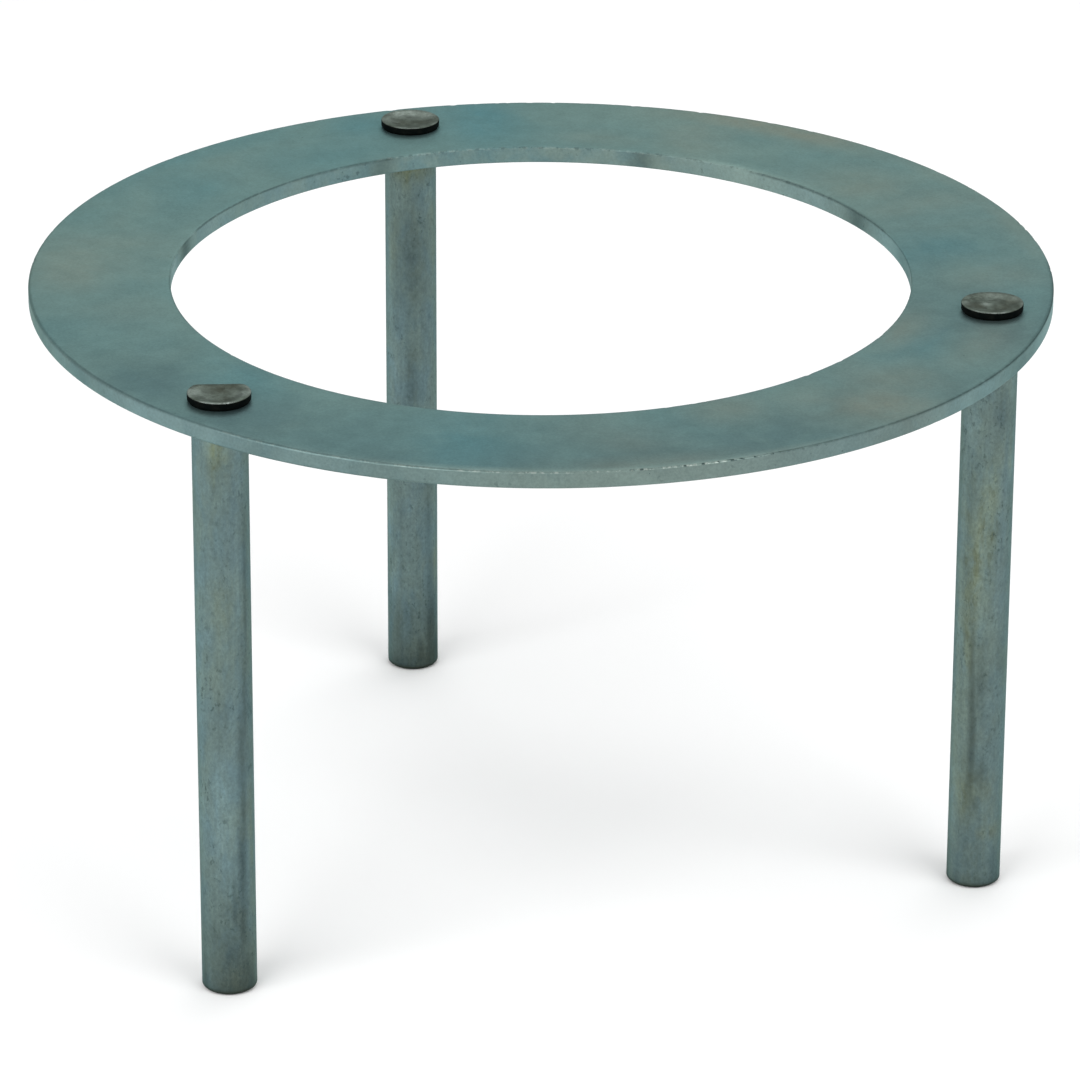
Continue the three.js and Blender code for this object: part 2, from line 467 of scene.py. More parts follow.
def zinc_bar():
    """Zinc plate on drawn bar: olive and blue lengths, fine dark mottling, stains, streaks of
    painted shade, dark reflection and painted light, and painted shade at the feet.
    """
    f = Finish("zinc_bar")
    # Lengths of two colours, and the placed tints and stains
    lengths = f.noise(7 * MM, 4, 0.62, 0.5, upright=0.4)
    colour = f.mix(f.between(lengths, 0.36, 0.62), BAR_BLUE, BAR_OLIVE)
    ragged = f.noise(4 * MM, 4, 0.68, 0.4, seed=3.0, upright=0.55)
    for name, tint, strength in (
        ("blue", BAR_COLD, 0.8),
        ("warm", BAR_WARM, 0.8),
        ("stain", YELLOW_STAIN, 0.85),
    ):
        share = f.times(f.marked(name), f.between(ragged, 0.3, 0.6, 0.25, strength))
        colour = f.mix(share, colour, tint)
    rust_spots = f.between(f.noise(2.4 * MM, 3, 0.6, seed=9.0, upright=0.4), 0.5, 0.62)
    colour = f.mix(f.times(f.marked("stain"), rust_spots), colour, RUST_STAIN)

    # Mottling, faint upright lines, and the placed streaks of painted shade, dark reflection and
    # painted light
    mottle = f.noise(2.2 * MM, 4, 0.66, seed=1.0, upright=0.6)
    grain = f.noise(0.8 * MM, 3, 0.7, seed=2.0, upright=0.7)
    lines = f.noise(0.9 * MM, 2, 0.5, seed=4.0, upright=0.02)
    shade = f.times(f.spread(mottle, 0.85, 1.13), f.between(grain, 0.28, 0.72, 0.86, 1.12))
    shade = f.times(shade, f.spread(lines, 0.96, 1.04))
    # Painted shade and dark reflections darken the colour
    shade = f.times(shade, f.between(f.marked("painted_shade"), 0.0, 1.0, 1.0, 0.35))
    # On the bars, painted light lightens the colour
    shade = f.times(shade, f.between(f.marked("pale_tone_and_painted_light"), 0.0, 1.0, 1.0, 1.3))
    colour = f.shaded(colour, shade)

    # Dark specks, in crowds
    crowding = f.between(f.noise(9 * MM, 3, 0.6, seed=5.0, upright=0.45), 0.36, 0.66)
    blots = f.noise(1.1 * MM, 2, 0.6, seed=6.0, upright=0.65)
    specks = f.times(crowding, f.between(blots, 0.57, 0.68, 0.0, 0.6))
    colour = f.mix(specks, colour, PIT)

    # The foot's edge in black painted shade, gloss and relief
    colour = f.mix(f.marked("foot_edge_shade"), colour, BAR_FOOT_SHADE)
    normal = f.bump(grain, 0.04 * MM, 0.6)
    normal = f.bump(mottle, 0.12 * MM, 0.5, normal)
    normal = f.bump(lines, 0.03 * MM, 0.6, normal)
    f.set(Base_Color=colour, Roughness=f.spread(mottle, 0.44, 0.58), Normal=normal)
    f.set(Metallic=ZINC_METALLIC, Specular_Tint=ZINC_GRAZING_TINT)
    return f.material


def worn_steel():
    """The worn grey-green top of a screw head: mottled, with pale and brown places, and a rubbed
    rim with a painted highlight.
    """
    f = Finish("worn_steel")
    mottle = f.noise(2.6 * MM, 4, 0.66, 0.6, seed=1.0)
    grain = f.noise(0.6 * MM, 3, 0.65, seed=2.0)
    colour = f.mix(f.between(mottle, 0.34, 0.66), STEEL_DARK, STEEL_GREY)
    ragged = f.between(f.noise(1.6 * MM, 4, 0.65, seed=3.0), 0.3, 0.6, 0.35, 1.0)
    colour = f.mix(f.times(f.marked("brown"), ragged), colour, STEEL_BROWN)
    colour = f.mix(f.times(f.marked("pale_tone_and_painted_light"), ragged), colour, STEEL_PALE)
    # Rubbed metal on the rim, in arcs that are also a painted highlight
    rubbed_and_glint = f.times(f.marked("rubbed_rim_and_glint"), f.between(grain, 0.32, 0.55, 0.3, 1.0))
    colour = f.mix(rubbed_and_glint, colour, STEEL_RUBBED_GLINT)
    colour = f.shaded(colour, f.between(grain, 0.28, 0.72, 0.82, 1.18))
    normal = f.bump(grain, 0.04 * MM, 0.6)
    normal = f.bump(mottle, 0.25 * MM, 0.6, normal)
    f.set(Base_Color=colour, Roughness=f.spread(mottle, 0.34, 0.52), Normal=normal)
    f.set(Metallic=STEEL_METALLIC, Specular_Tint=STEEL_GRAZING_TINT)
    return f.material


def black_steel():
    """Black scale on the sides of the heads, the shanks and the washers."""
    f = Finish("black_steel")
    mottle = f.noise(1.8 * MM, 4, 0.65, seed=1.0)
    grain = f.noise(0.4 * MM, 3, 0.6, seed=2.0)
    colour = f.mix(f.between(mottle, 0.4, 0.7), SCALE_BLACK, SCALE_GREY)
    f.set(Base_Color=colour, Roughness=f.spread(mottle, 0.5, 0.75))
    f.set(Normal=f.bump(grain, 0.04 * MM, 0.6), Metallic=0.0, Specular_IOR_Level=0.05)
    return f.material


# ---------------------------------------------------------------- the ring
# Placed clouds: degrees from +X, radius in mm, length round the ring in mm, width across it in
# mm, and strength. Light lengths and dark patches of painted shadow show on the cut walls only,
# and the others on the faces and walls alike. The dark grey clouds over the front half are
# painted shade; the warm, blue and pale ones are tints of the zinc.
RING_PLACES = {
    "warm": (
        (5, 148, 90, 6, 0.3), (8, 130, 20, 30, 0.4), (20, 124, 26, 20, 0.4),
        (43, 147, 46, 11, 0.95), (50, 128, 18, 30, 0.4), (63, 118, 22, 10, 0.3),
        (152, 132, 14, 26, 0.3), (160, 138, 34, 22, 0.45), (177, 126, 18, 22, 0.2),
        (262, 151, 90, 4, 0.45), (263, 126, 20, 26, 0.25), (264, 147, 36, 9, 0.36),
        (279, 116, 20, 16, 0.35), (290, 122, 18, 20, 0.35), (295, 139, 26, 22, 0.62),
        (303, 128, 22, 26, 0.4), (318, 113, 26, 9, 0.5), (318, 137, 34, 12, 0.35),
        (342, 134, 20, 22, 0.35),
    ),
    "blue": (
        (5, 128, 14, 20, 0.5), (80, 136, 18, 34, 0.85), (96, 140, 14, 14, 0.6),
        (105, 120, 30, 18, 0.3), (120, 147, 60, 8, 0.4), (127, 128, 24, 34, 0.3),
        (178, 130, 34, 30, 0.25), (207, 118, 24, 14, 0.45), (243, 130, 20, 32, 0.5),
        (266, 118, 20, 14, 0.2), (307, 119, 20, 10, 0.4), (314, 122, 20, 20, 0.3),
        (338, 138, 24, 14, 0.3), (353, 122, 26, 26, 0.45),
    ),
    "ring_painted_shade": (
        (190, 130, 30, 40, 0.4), (201, 139, 34, 26, 0.95), (205, 151, 60, 5, 0.8),
        (217, 138, 40, 40, 0.85), (247, 146, 26, 20, 0.95), (265, 150, 250, 64, 0.95),
        (277, 146, 24, 16, 0.95), (293, 134, 30, 30, 0.88), (322, 142, 40, 14, 0.9),
        (324, 126, 64, 44, 0.88), (325, 113, 30, 10, 0.85), (326, 151, 60, 8, 0.9),
        (352, 116, 40, 16, 0.75), (354, 124, 40, 40, 0.55),
    ),
    "light": (
        (0, 108.5, 20, 4, 0.66), (22, 108.5, 28, 4, 0.45), (118, 108.5, 44, 4, 0.25),
        (139, 108.5, 20, 4, 0.6), (158, 108.5, 12, 4, 0.75), (187, 150, 26, 6, 0.36),
        (206, 150, 50, 6, 0.56), (226, 150, 34, 6, 0.22), (288, 150, 50, 6, 0.2),
        (307, 150, 34, 6, 0.48), (332, 150, 46, 6, 0.74),
    ),
    # Painted shadow: dark patches on the inner wall
    "inner_wall_painted_shadow": (
        (11, 108.5, 7, 4, 0.55), (56, 108.5, 6, 4, 0.5), (99, 108.5, 7, 4, 0.45),
        (149, 108.5, 5.5, 4, 0.6),
    ),
    "pale_tone_and_painted_light": (
        (36, 108.5, 32, 4, 1.0), (55, 126, 40, 60, 0.08), (157, 130, 40, 60, 0.14),
        (258, 150.5, 95, 3.5, 0.6),
    ),
}

# Lengths of the top corners: which corner, degrees from +X at both ends, and strength. Bare
# ones are bright metal, chipped ones have dark dashes, and scored ones a dark line.
CORNER_ARCS = {
    "bare": (("outer", 217, 241, 0.6), ("outer", 244, 271, 1.0), ("inner", 56, 98, 0.28)),
    "chipped": (("outer", 263, 277, 1.0), ("inner", 19, 98, 0.4)),
    "scored": (("outer", 279, 345, 1.0), ("inner", 98, 142, 1.0), ("inner", 3, 34, 0.8)),
}
ARC_END_FADE = 3  # degrees


def patches(co, places):
    """How strongly the placed clouds cover each point of the ring."""
    degrees = np.degrees(np.arctan2(co[:, 1], co[:, 0]))
    radius = np.hypot(co[:, 0], co[:, 1])
    total = np.zeros(len(co))
    for at_degrees, at_radius, length, width, strength in places:
        along = np.radians(degrees_between(degrees, at_degrees)) * radius / (length * MM)
        across = (radius - at_radius * MM) / (width * MM)
        total = np.maximum(total, strength * np.exp(-2 * (along**2 + across**2)))
    return total


def corner_lines(co, arcs):
    """How strongly the given lengths of the ring's top corners cover each point, in thin lines."""
    degrees = np.degrees(np.arctan2(co[:, 1], co[:, 0])) % 360
    radius = np.hypot(co[:, 0], co[:, 1])
    total = np.zeros(len(co))
    for which, start, end, strength in arcs:
        corner = ring_radius if which == "outer" else hole_radius
        away = np.hypot(radius - corner, co[:, 2] - ring_top)
        ends = fade(start - degrees, 0, ARC_END_FADE) * fade(degrees - end, 0, ARC_END_FADE)
        total = np.maximum(total, strength * ends * fade(away, CORNER_LINE, 2 * CORNER_LINE))
    return total


def ring_profile_rows(edge):
    """The plate's section as (radius, height) arrays of rows by segments, for an edge radius
    that changes round the ring."""
    rows = []

    def add(radius, height):
        rows.append(np.broadcast_arrays(radius, height, edge)[:2])

    inner_face = hole_radius + edge
    outer_face = ring_radius - edge
    wall = ring_top - ring_underside - 2 * edge
    spread = np.linspace(0, 1, RING_FACE_STEPS + 1)
    across = spread * spread * (3 - 2 * spread)  # closer rows near the corners
    up = np.linspace(0, 1, RING_WALL_STEPS + 1)[1:-1]
    quarter = np.radians(np.linspace(0, 90, RING_ARC_STEPS + 1))
    for share in across:  # underside, from the hole outwards
        add(inner_face + (outer_face - inner_face) * share, ring_underside)
    for a in quarter[1:]:
        add(outer_face + edge * np.sin(a), ring_underside + edge * (1 - np.cos(a)))
    for share in up:
        add(ring_radius, ring_underside + edge + wall * share)
    for a in quarter:
        add(outer_face + edge * np.cos(a), ring_top - edge * (1 - np.sin(a)))
    for share in across[1:]:  # top, from the rim inwards
        add(outer_face + (inner_face - outer_face) * share, ring_top)
    for a in quarter[1:]:
        add(inner_face - edge * np.sin(a), ring_top - edge * (1 - np.cos(a)))
    for share in up:
        add(hole_radius, ring_top - edge - wall * share)
    for a in quarter[:-1]:
        add(inner_face - edge * np.cos(a), ring_underside + edge * (1 - np.sin(a)))
    return np.array([r for r, _ in rows]), np.array([z for _, z in rows])


def knock_nicks(radius, height, angle):
    """Pushes short notches into the ring's corners, most of them into the outer top one."""
    rng = np.random.default_rng(NICK_SEED)
    for _ in range(NICK_COUNT):
        at = rng.uniform(0, 2 * math.pi)
        on_hole = rng.random() < NICKS_ON_HOLE
        below = rng.random() < NICKS_BELOW
        corner_r, into_plate = (hole_radius, 1) if on_hole else (ring_radius, -1)
        corner_z, upward = (ring_underside, 1) if below else (ring_top, -1)
        half_length = rng.uniform(*NICK_HALF_LENGTHS_MM) * MM
        reach = rng.uniform(*NICK_REACHES_MM) * MM
        depth = rng.uniform(*NICK_DEPTH_SHARES) * NICK_DEPTH
        turn = (angle - at + math.pi) % (2 * math.pi) - math.pi
        along = fade(np.abs(turn) * corner_r, half_length * 0.3, half_length)
        away = np.hypot(radius - corner_r, height - corner_z)
        push = NICK_SLANT * depth * along * fade(away, reach * 0.4, reach)
        radius = radius + into_plate * push
        height = height + upward * push
    return radius, height


def drill_clearance_holes(piece):
    """Cuts the hole for each screw and leaves no modifier behind."""
    profile = [
        (CLEARANCE_HOLE_RADIUS, ring_underside - DRILL_OVERSHOOT),
        (CLEARANCE_HOLE_RADIUS, ring_top + DRILL_OVERSHOOT),
    ]
    radius, height = turned_grid(profile, DRILL_FACETS)
    for side in SIDES:
        drill = turned("drill", radius, height, node_axis(f"screw_{side}"))
        cut = piece.modifiers.new("hole", "BOOLEAN")
        cut.operation = "DIFFERENCE"
        cut.solver = "EXACT"
        cut.object = drill
        with bpy.context.temp_override(object=piece, active_object=piece):
            bpy.ops.object.modifier_apply(modifier=cut.name)
        bpy.data.objects.remove(drill)


def ring_plate(material):
    """The ring, with worn corners, nicks, clearance holes and its marks."""
    angle = np.linspace(0, 2 * math.pi, RING_SEGMENTS, endpoint=False)
    dulled = 0.5 + 0.5 * np.cos(angle - math.radians(RING_DULLED_TOWARDS))
    crisp_edge, dull_edge = RING_EDGE_RADIUS
    radius, height = ring_profile_rows(crisp_edge + (dull_edge - crisp_edge) * dulled**3)
    radius, height = knock_nicks(radius, height, angle)
    piece = turned("ring", radius, height, closed=True)
    drill_clearance_holes(piece)

    co = positions(piece)
    from_axis = np.hypot(co[:, 0], co[:, 1])
    to_wall = np.minimum(ring_radius - from_axis, from_axis - hole_radius)
    to_face = np.minimum(ring_top - co[:, 2], co[:, 2] - ring_underside)
    mark(piece, "cut", fade(to_wall, *WALL_FADE) * (1 - fade(to_face, *WALL_FADE)))
    for name, places in RING_PLACES.items():
        mark(piece, name, patches(co, places))
    for name, arcs in CORNER_ARCS.items():
        mark(piece, name, corner_lines(co, arcs))
    finish_piece(piece, "ring_plate", material, RING_CREASE)


# ---------------------------------------------------------------- the legs
# Marks on each bar: share of the height, degrees round from the marks' zero direction, height
# of the mark in mm, its width in degrees, and strength. The dark marks are painted shade and
# dark reflections, and the pale ones are painted light; the stains and the warm and blue tints
# are the zinc's own.
# The marks' zero direction points towards the camera.
MARKS_ZERO = -108  # degrees from +X
LEG_MARKS = {
    "left": {
        "stain": ((0.965, -10, 6, 9, 0.8), (0.96, 0, 7, 22, 0.35), (0.93, -12, 5, 6, 0.6)),
        "warm": (
            (0.955, -6, 9, 46, 0.5), (0.69, 4, 13, 32, 0.7), (0.56, -20, 14, 30, 0.35),
            (0.27, 64, 22, 10, 0.8), (0.06, 60, 12, 16, 0.6), (0.025, 10, 6, 60, 0.7),
        ),
        "blue": ((0.82, 28, 22, 24, 0.5), (0.47, 16, 14, 40, 0.5), (0.28, -16, 16, 40, 0.3)),
        "pale_tone_and_painted_light": (
            (0.985, 8, 7, 90, 1.0), (0.965, 44, 10, 22, 0.8), (0.93, -56, 14, 16, 0.75),
            (0.91, 48, 12, 22, 0.75), (0.78, 36, 26, 10, 0.6), (0.68, -40, 16, 22, 0.35),
            (0.6, -58, 44, 17, 0.8), (0.33, -10, 20, 36, 0.75), (0.32, -56, 24, 18, 0.75),
        ),
        "painted_shade": (
            (0.9, 51, 30, 8, 0.2), (0.84, -10, 18, 30, 0.12), (0.7, 54, 36, 8, 0.44),
            (0.52, 48, 24, 10, 0.45), (0.5, -6, 12, 18, 0.3), (0.43, 39, 18, 12, 0.5),
            (0.33, 41, 18, 10, 0.54), (0.24, 36, 18, 14, 0.62), (0.155, 18, 10, 13, 0.55),
            (0.13, 4, 16, 26, 0.3), (0.13, 35, 16, 16, 0.56), (0.06, 14, 20, 60, 0.42),
            (0.03, -56, 8, 16, 0.3), (0.03, 40, 12, 34, 0.52),
        ),
    },
    "back": {
        "stain": ((0.972, 0, 4, 46, 1.0), (0.955, -6, 5, 9, 0.7)),
        "warm": (
            (0.96, 0, 6, 50, 0.6), (0.875, 56, 6, 14, 0.8), (0.83, -45, 12, 16, 0.7),
            (0.78, 6, 24, 18, 0.4), (0.78, 64, 18, 10, 0.5), (0.2, 66, 8, 12, 0.8),
            (0.03, 30, 8, 50, 0.6),
        ),
        "blue": ((0.68, 42, 20, 16, 0.3), (0.62, -44, 16, 20, 0.3), (0.3, -6, 26, 30, 0.3)),
        "pale_tone_and_painted_light": (
            (0.912, -28, 7, 28, 0.6), (0.91, 52, 7, 18, 0.6), (0.7, -58, 60, 18, 0.9),
            (0.59, -48, 18, 20, 0.95), (0.32, 4, 12, 16, 0.4), (0.31, -62, 20, 14, 0.95),
            (0.175, -50, 6, 15, 1.0),
        ),
        "painted_shade": (
            (0.8, 5, 26, 44, 0.5), (0.76, 4, 16, 20, 0.46), (0.74, -8, 34, 5, 0.3),
            (0.7, 26, 34, 8, 0.3), (0.57, 2, 18, 20, 0.45), (0.43, 30, 10, 60, 0.3),
            (0.3, 42, 24, 14, 0.4), (0.25, -26, 20, 10, 0.24), (0.16, 46, 22, 16, 0.42),
            (0.09, 0, 12, 40, 0.28), (0.08, -32, 14, 22, 0.34), (0.08, 50, 16, 24, 0.66),
            (0.03, 20, 7, 16, 0.62), (0.02, -10, 10, 60, 0.42), (0.02, 58, 12, 36, 0.78),
        ),
    },
    "right": {
        "stain": (
            (0.73, 10, 9, 14, 0.35), (0.68, -8, 9, 14, 0.4), (0.66, 9, 14, 16, 0.45),
            (0.6, -18, 12, 14, 0.5), (0.56, -36, 28, 14, 0.5), (0.53, -23, 10, 9, 0.55),
            (0.46, -34, 14, 12, 0.45), (0.18, -30, 8, 20, 0.4),
        ),
        "warm": (
            (0.79, 24, 8, 16, 0.6), (0.78, 54, 7, 12, 0.8), (0.73, 6, 12, 22, 0.8),
            (0.64, -14, 14, 22, 0.9), (0.54, -20, 14, 18, 0.9), (0.5, -14, 120, 70, 0.45),
            (0.44, -28, 14, 14, 0.7), (0.4, -60, 60, 14, 0.6), (0.19, 6, 8, 44, 0.8),
            (0.17, -36, 10, 24, 0.8), (0.105, 26, 3, 40, 1.0),
        ),
        "blue": (
            (0.84, 8, 9, 22, 0.45), (0.82, -42, 9, 22, 0.4), (0.58, 38, 34, 24, 0.5),
            (0.36, 12, 22, 28, 0.3),
        ),
        "pale_tone_and_painted_light": (
            (0.91, 56, 6, 14, 0.6), (0.84, -38, 10, 24, 0.95), (0.77, 58, 7, 14, 0.7),
            (0.72, 8, 9, 30, 0.6), (0.61, -13, 18, 17, 0.78), (0.52, -60, 70, 16, 0.9),
            (0.4, -40, 24, 14, 0.5), (0.24, -60, 44, 15, 1.0),
        ),
        "painted_shade": (
            (0.975, -6, 7, 80, 0.48), (0.86, 26, 9, 20, 0.42), (0.62, -52, 20, 7, 0.14),
            (0.53, -31, 14, 6, 0.24), (0.42, -22, 16, 9, 0.54), (0.41, 40, 14, 40, 0.3),
            (0.38, -2, 16, 18, 0.48), (0.35, -19, 12, 10, 0.66), (0.28, 24, 24, 30, 0.26),
            (0.27, -17, 26, 12, 0.66), (0.215, 2, 8, 26, 0.5), (0.16, -6, 6, 14, 0.42),
            (0.06, 0, 14, 80, 0.13), (0.03, 46, 10, 30, 0.2),
        ),
    },
}

# The far side of each bar carries the marks of another bar.
FAR_SIDE_MARKS = {"left": "right", "back": "left", "right": "back"}


def bar_patches(co, axis, low, high, marks, zero):
    """How strongly the placed marks cover each point of a bar, from a zero direction."""
    turn = degrees_between(np.degrees(np.arctan2(co[:, 1] - axis[1], co[:, 0] - axis[0])), zero)
    total = np.zeros(len(co))
    for share, degrees, tall, wide, strength in marks:
        up = (co[:, 2] - low - share * (high - low)) / (tall * MM)
        round_by = (turn - degrees) / wide
        total = np.maximum(total, strength * np.exp(-(up**2) - round_by**2))
    return total


def leg(side, material):
    """One bar, with its worn foot, the bore for its screw, and its marks."""
    node = f"leg_{side}"
    low, high = (corner.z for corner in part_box(node))
    radius = node_radius(node)
    axis = node_axis(node)
    above_foot, below_top = LEG_PLAIN_SIDE
    side_rows = np.linspace(low + above_foot, high - below_top, LEG_SIDE_ROWS)
    bore, bore_floor = LEG_BORE_RADIUS, high - LEG_BORE_DEPTH
    bore_rows = np.linspace(high - LEG_BORE_MOUTH, bore_floor, LEG_BORE_ROWS)
    profile = [(radius - inset, low + above) for inset, above in LEG_FOOT_OUTLINE]
    profile += [(radius, z) for z in side_rows]
    profile += [(radius, high - LEG_TOP_CHAMFER), (radius - LEG_TOP_CHAMFER, high)]
    profile += [(bore + LEG_TOP_CHAMFER, high), (bore, high - LEG_TOP_CHAMFER)]
    profile += [(bore, z) for z in bore_rows]
    profile += [(END_RADIUS, bore_floor - DRILL_POINT_DEPTH)]
    piece = turned(f"leg_bar_{side}", *turned_grid(profile, LEG_FACETS), axis)

    co = positions(piece)
    above_floor = co[:, 2] - low
    for name, marks in LEG_MARKS[side].items():
        far_marks = LEG_MARKS[FAR_SIDE_MARKS[side]][name]
        near = bar_patches(co, axis, low, high, marks, MARKS_ZERO)
        far = bar_patches(co, axis, low, high, far_marks, MARKS_ZERO + 180)
        values = np.maximum(near, far)
        # Painted shade that grows towards the foot
        if name == "painted_shade":
            for strength, start, end in FOOT_PAINTED_SHADE:
                values += strength * fade(above_floor, start, end)
        mark(piece, name, values)
    # Black painted shade on the foot's edge, where it faces the floor
    mark(piece, "foot_edge_shade", fade(above_floor, *FOOT_EDGE_SHADE))
    finish_piece(piece, node, material, LEG_CREASE)


# ---------------------------------------------------------------- screws and washers
# Marks on each head's top: degrees round from the marks' zero direction, share of the radius,
# size as a share of the radius, and strength. Rubbed arcs of its rim, which are also a painted
# highlight and strongest on the side towards the camera: degrees, half width in degrees, and
# strength.
HEAD_MARKS = {
    "left": {
        "pale_tone_and_painted_light": ((-88, 0.78, 0.42, 0.9), (-40, 0.6, 0.36, 0.3), (86, 0.82, 0.36, 0.85)),
        "brown": ((20, 0.6, 0.4, 0.5), (140, 0.7, 0.3, 0.5), (178, 0.3, 0.55, 0.8)),
        "rubbed_rim_and_glint": ((-84, 26, 0.25), (-8, 6, 0.8), (-2, 44, 0.6), (16, 9, 1.0), (104, 34, 0.3)),
    },
    "back": {
        "pale_tone_and_painted_light": (
            (-150, 0.75, 0.55, 0.9), (-84, 0.75, 0.4, 0.6), (130, 0.8, 0.5, 0.7),
            (180, 0.65, 0.6, 0.85),
        ),
        "brown": ((-40, 0.4, 0.5, 0.6), (0, 0.7, 0.3, 0.3), (60, 0.5, 0.5, 0.6)),
        "rubbed_rim_and_glint": ((-5, 34, 0.35), (60, 14, 0.2)),
    },
    "right": {
        "pale_tone_and_painted_light": (
            (-84, 0.85, 0.25, 0.4), (-76, 0.2, 0.2, 0.85), (112, 0.8, 0.35, 0.35),
            (170, 0.75, 0.6, 0.35),
        ),
        "brown": (
            (-66, 0.58, 0.36, 1.0), (0, 0.72, 0.36, 0.6), (40, 0.55, 0.5, 0.7),
            (90, 0.4, 0.4, 0.5), (100, 0.62, 0.34, 0.9),
        ),
        "rubbed_rim_and_glint": ((-30, 20, 0.3), (4, 26, 0.6), (88, 26, 0.2)),
    },
}

# Each head is worn down towards one side: degrees, share of the radius where the slope starts,
# and its drop at the edge.
HEAD_SLOPES = {
    "left": (183, 0.56, 1.5 * MM),
    "back": (150, 0.3, 0.12 * MM),
    "right": (175, 0.45, 0.3 * MM),
}
HEAD_SLOPE_CURVE = 1.5  # the power with which a slope falls away


def head_patches(x, y, head, places):
    """How strongly the placed marks cover each point of a head's top."""
    total = np.zeros_like(x)
    for degrees, share, size, strength in places:
        heading = math.radians(MARKS_ZERO + degrees)
        centre_x = share * head * math.cos(heading)
        centre_y = share * head * math.sin(heading)
        away = np.hypot(x - centre_x, y - centre_y) / (size * head)
        total = np.maximum(total, strength * np.exp(-2 * away**2))
    return total


def rim_rub_and_glint_arcs(x, y, arcs):
    """How strongly the rubbed arcs, which are also a painted highlight, cover each direction from
    the head's middle.
    """
    turn = np.degrees(np.arctan2(y, x)) - MARKS_ZERO
    total = np.zeros_like(x)
    for degrees, half_width, strength in arcs:
        away = np.abs(degrees_between(turn, degrees))
        total = np.maximum(total, strength * fade(away, half_width * 0.5, half_width))
    return total


def dents(x, y, reach, rng):
    """Depth, 0 to 1, of a worn top: the deepest of some shallow slanting facets."""
    depth = np.zeros_like(x)
    for _ in range(HEAD_DENT_COUNT):
        heading = rng.uniform(0, 2 * math.pi)
        offset = rng.uniform(0.0, HEAD_DENT_OFFSET) * reach
        slope = rng.uniform(*HEAD_DENT_SLOPES)
        along = x * math.cos(heading) + y * math.sin(heading)
        depth = np.maximum(depth, slope * (along - offset) / reach)
    return np.clip(depth, 0, 1)


def cut_thread(radius, height, tip):
    """Cuts one helical groove, and narrows the shank to the groove's depth at the tip."""
    angle = np.linspace(0, 2 * math.pi, HEAD_FACETS, endpoint=False)
    turns = (height - tip) / THREAD_PITCH - angle / (2 * math.pi)
    wave = np.abs((turns % 1.0) * 2 - 1)
    groove = np.clip((wave - THREAD_FLAT) / (1 - 2 * THREAD_FLAT), 0, 1)
    at_tip = fade(height - tip, 0, THREAD_LEAD_IN)
    return radius - THREAD_DEPTH * np.maximum(groove, at_tip)


def wear_head(radius, height, side, head, underside, top):
    """Lowers the top's rows into a shallow dish of slanting facets, and slopes the whole head."""
    angle = np.linspace(0, 2 * math.pi, HEAD_FACETS, endpoint=False)
    x, y = radius * np.cos(angle), radius * np.sin(angle)
    dish_radius = head - HEAD_EDGE_RADIUS - HEAD_RIM_WIDTH
    on_face = height > top - 0.001 * MM
    inside = fade(radius, HEAD_DISH_FLOOR * dish_radius, dish_radius) * on_face
    depth = dents(x, y, dish_radius, np.random.default_rng(HEAD_DENT_SEEDS[side]))
    height = height - inside * (HEAD_DISH_DEPTH + HEAD_DENT_DEPTH * depth)
    degrees, start, drop = HEAD_SLOPES[side]
    heading = math.radians(MARKS_ZERO + degrees)
    towards = (x * math.cos(heading) + y * math.sin(heading)) / head
    slope = np.clip((towards - start) / (1 - start), 0, 1) ** HEAD_SLOPE_CURVE
    above = np.maximum(height - underside, 0)
    return height - above * drop / (top - underside) * slope


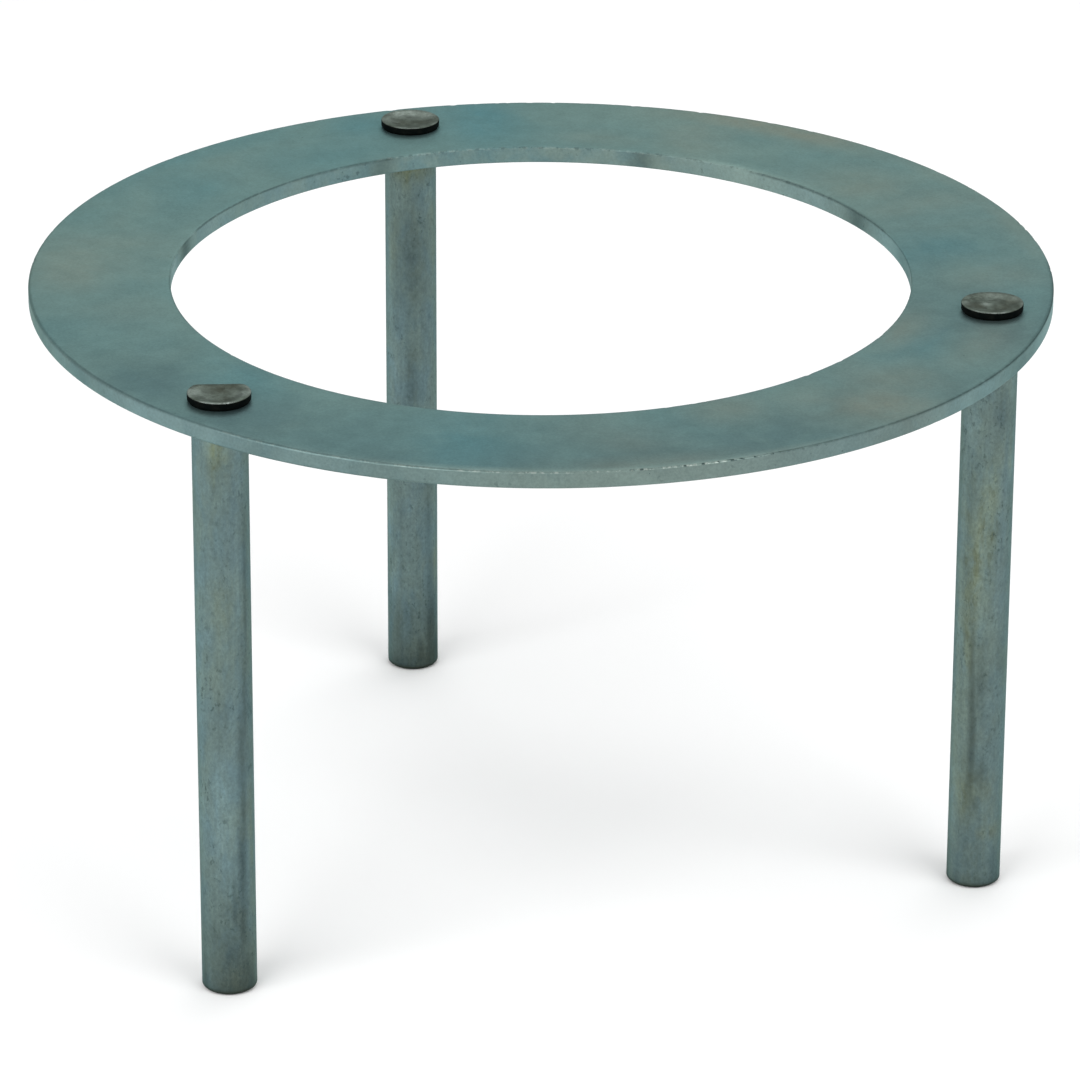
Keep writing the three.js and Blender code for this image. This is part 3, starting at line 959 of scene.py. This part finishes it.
def screw(side, top_material, side_material):
    """One screw: a threaded shank, a neck, and a worn low head with black sides."""
    node = f"screw_{side}"
    tip, top = (corner.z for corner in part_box(node))
    axis = node_axis(node)
    head = node_radius(node)
    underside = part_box(f"washer_{side}")[1].z
    thread_top = underside - NECK_LENGTH
    thread_rows = int((thread_top - tip) / THREAD_PITCH * THREAD_ROWS_PER_PITCH)
    lip, edge = HEAD_LIP_RADIUS, HEAD_EDGE_RADIUS
    dish_radius = head - edge - HEAD_RIM_WIDTH
    profile = [(END_RADIUS, tip)]
    profile += [(THREAD_RADIUS, z) for z in np.linspace(tip, thread_top, thread_rows)]
    profile += [(NECK_RADIUS, thread_top + NECK_TAPER), (NECK_RADIUS, underside)]
    profile += arc(head - lip, underside + lip, lip, -90, 0, HEAD_LIP_STEPS)
    profile += [(head, underside + (top - underside) * share) for share in HEAD_SIDE_ROWS]
    first_top_row = len(profile) + 2  # the edge's first two rows are black, as the side is
    profile += arc(head - edge, top - edge, edge, 0, 90, HEAD_EDGE_STEPS)
    profile += [(head - edge - HEAD_RIM_WIDTH * share, top) for share in HEAD_RIM_ROWS]
    dish_shares = np.linspace(*HEAD_DISH_SPAN, HEAD_DISH_ROWS)
    profile += [(dish_radius * share, top) for share in dish_shares]
    radius, height = turned_grid(profile, HEAD_FACETS)
    thread = slice(1, 1 + thread_rows)
    radius[thread] = cut_thread(radius[thread], height[thread], tip)
    height = wear_head(radius, height, side, head, underside, top)
    piece = turned(f"head_and_shank_{side}", radius, height, axis)

    co = positions(piece)
    x, y = co[:, 0] - axis[0], co[:, 1] - axis[1]
    on_top = np.repeat(np.arange(len(profile)), HEAD_FACETS) >= first_top_row
    marks = HEAD_MARKS[side]
    for name in ("pale_tone_and_painted_light", "brown"):
        mark(piece, name, on_top * head_patches(x, y, head, marks[name]))
    # Rubbed rim with a painted highlight
    at_rim = fade(np.abs(np.hypot(x, y) - (head - edge)), *HEAD_RIM_FADE)
    mark(piece, "rubbed_rim_and_glint", on_top * at_rim * rim_rub_and_glint_arcs(x, y, marks["rubbed_rim_and_glint"]))
    finish_piece(piece, node, top_material, HEAD_CREASE)
    piece.data.materials.append(side_material)
    for face in piece.data.polygons:
        face.material_index = 0 if on_top[face.vertices[0]] and on_top[face.vertices[1]] else 1


def washer(side, material):
    """One thin washer with rounded outer edges."""
    node = f"washer_{side}"
    low, high = (corner.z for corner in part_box(node))
    outer = node_radius(node)
    edge = WASHER_EDGE_RADIUS
    profile = [(WASHER_HOLE_RADIUS, low)]
    profile += arc(outer - edge, low + edge, edge, -90, 0, WASHER_EDGE_STEPS)
    profile += arc(outer - edge, high - edge, edge, 0, 90, WASHER_EDGE_STEPS)
    profile += [(WASHER_HOLE_RADIUS, high)]
    radius, height = turned_grid(profile, WASHER_FACETS)
    piece = turned(f"thin_washer_{side}", radius, height, node_axis(node), closed=True)
    finish_piece(piece, node, material, WASHER_CREASE)


# ---------------------------------------------------------------- camera, light and floor
def direction(azimuth, elevation):
    """From the object towards a viewer: azimuth 0 is at -Y, and it grows towards +X."""
    a, e = math.radians(azimuth), math.radians(elevation)
    return Vector((math.sin(a) * math.cos(e), -math.cos(a) * math.cos(e), math.sin(e)))


def add_camera():
    """The only camera."""
    target = Vector((0, 0, ring_top - CAMERA_TARGET_DROP))
    place = target + CAMERA_DISTANCE * direction(CAMERA_AZIMUTH, CAMERA_ELEVATION)
    data = bpy.data.cameras.new("camera")
    data.lens = CAMERA_LENS_MM
    data.sensor_width = CAMERA_SENSOR_MM
    data.clip_end = CAMERA_CLIP_END
    camera = bpy.data.objects.new("camera", data)
    look = (target - place).to_track_quat("-Z", "Y").to_matrix().to_4x4()
    roll = Matrix.Rotation(math.radians(CAMERA_ROLL), 4, "Z")
    camera.matrix_world = Matrix.Translation(place) @ look @ roll
    bpy.context.scene.collection.objects.link(camera)
    bpy.context.scene.camera = camera


def add_softbox(name, azimuth, elevation, distance, size, power):
    """An area light that faces the middle of the stand."""
    data = bpy.data.lights.new(name, "AREA")
    data.shape = "RECTANGLE"
    data.size, data.size_y = size
    data.energy = power
    light = bpy.data.objects.new(name, data)
    centre = Vector((0, 0, ring_top / 2))
    light.location = centre + distance * direction(azimuth, elevation)
    light.rotation_euler = (centre - light.location).to_track_quat("-Z", "Y").to_euler()
    bpy.context.scene.collection.objects.link(light)


def add_floor():
    """A plain pale floor, which is no part of the object."""
    half = FLOOR_HALF_WIDTH
    mesh = bpy.data.meshes.new("floor")
    corners = [(-half, -half, 0), (half, -half, 0), (half, half, 0), (-half, half, 0)]
    mesh.from_pydata(corners, [], [(0, 1, 2, 3)])
    floor = bpy.data.objects.new("floor", mesh)
    bpy.context.scene.collection.objects.link(floor)
    f = Finish("floor")
    f.set(Base_Color=FLOOR_COLOUR, Roughness=FLOOR_ROUGHNESS)
    mesh.materials.append(f.material)


def add_surround():
    """A white surround that lights the stand from all sides."""
    world = bpy.data.worlds.new("studio")
    world.use_nodes = True
    background = world.node_tree.nodes["Background"]
    background.inputs["Color"].default_value = WHITE
    background.inputs["Strength"].default_value = SURROUND_STRENGTH
    bpy.context.scene.world = world


bpy.context.scene.view_settings.view_transform = "Standard"
add_camera()
add_floor()
add_surround()
for name, settings in SOFTBOXES.items():
    add_softbox(name, *settings)

plate = zinc_plate()
bar = zinc_bar()
worn = worn_steel()
black = black_steel()
ring_plate(plate)
for side in SIDES:
    leg(side, bar)
    washer(side, black)
    screw(side, worn, black)
